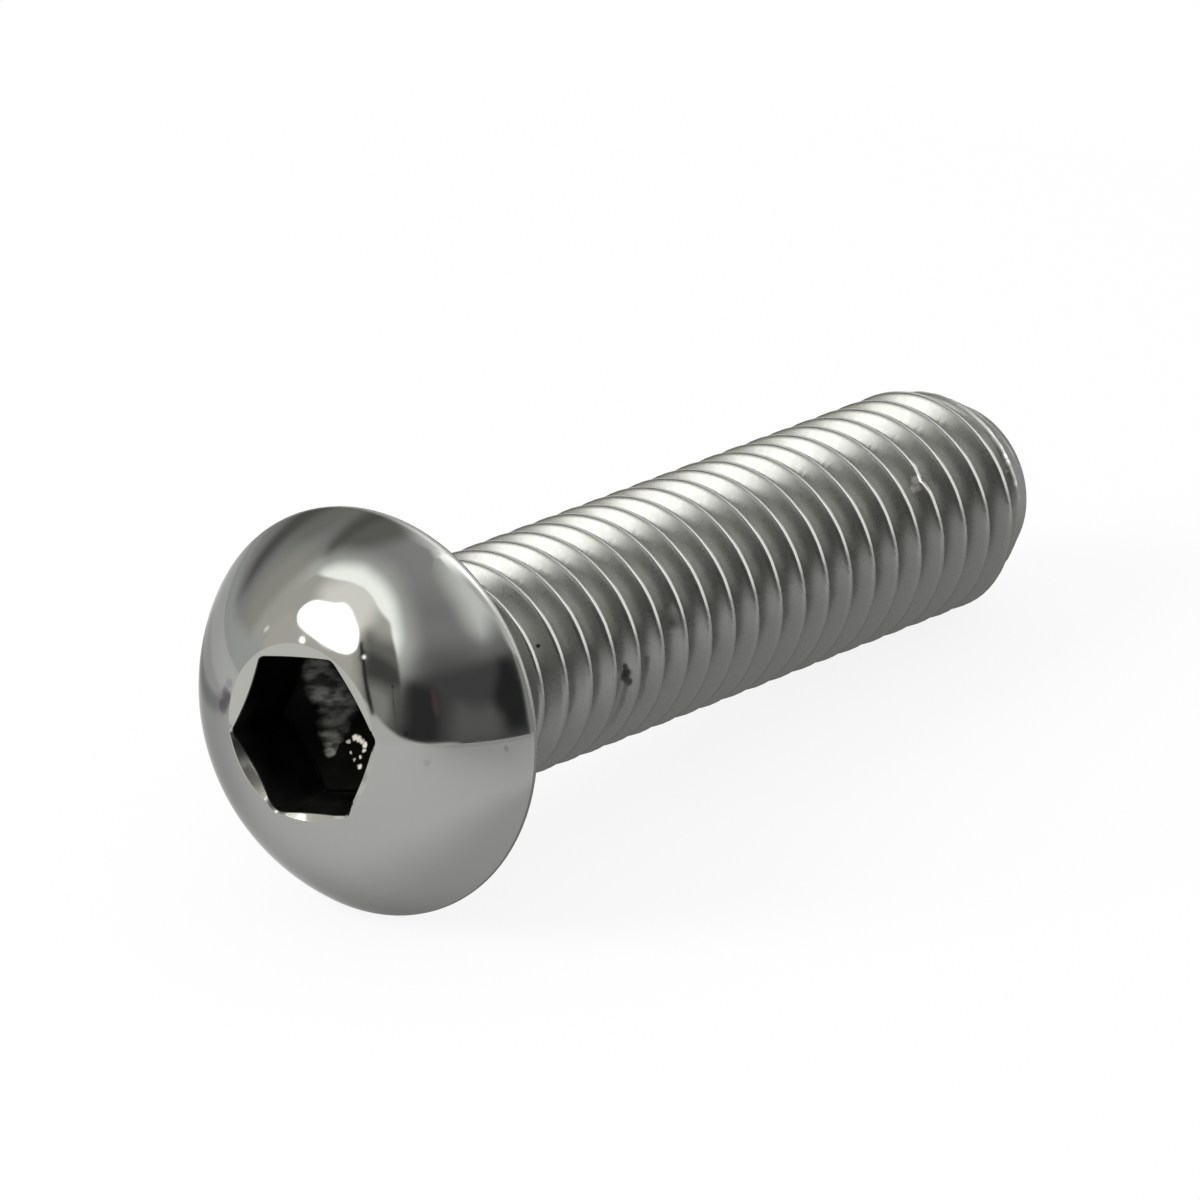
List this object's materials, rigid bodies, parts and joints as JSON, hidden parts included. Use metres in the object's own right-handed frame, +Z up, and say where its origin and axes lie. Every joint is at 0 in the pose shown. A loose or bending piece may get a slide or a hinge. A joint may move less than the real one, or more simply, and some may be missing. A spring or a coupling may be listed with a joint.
{
  "type": "button head screw",
  "caption": "Button head socket screw lying on its side: low domed head with a hexagon socket, short plain neck and a right-hand threaded shank with a chamfered point.",
  "frame": {"origin": "centre of the bearing face under the head, on the screw's axis", "axes": "+X from the head towards the point, level; +Z up; the screw's axis dips 5.47 degrees below +X in the XZ plane, because the screw lies on its head rim and its thread"},
  "size_m": [0.0281, 0.0104, 0.0104],
  "materials": {
    "polished_steel": "polished head, satin thread"
  },
  "bodies": {
    "root": {"button_head_screw": "polished_steel"}
  },
  "joints": []
}
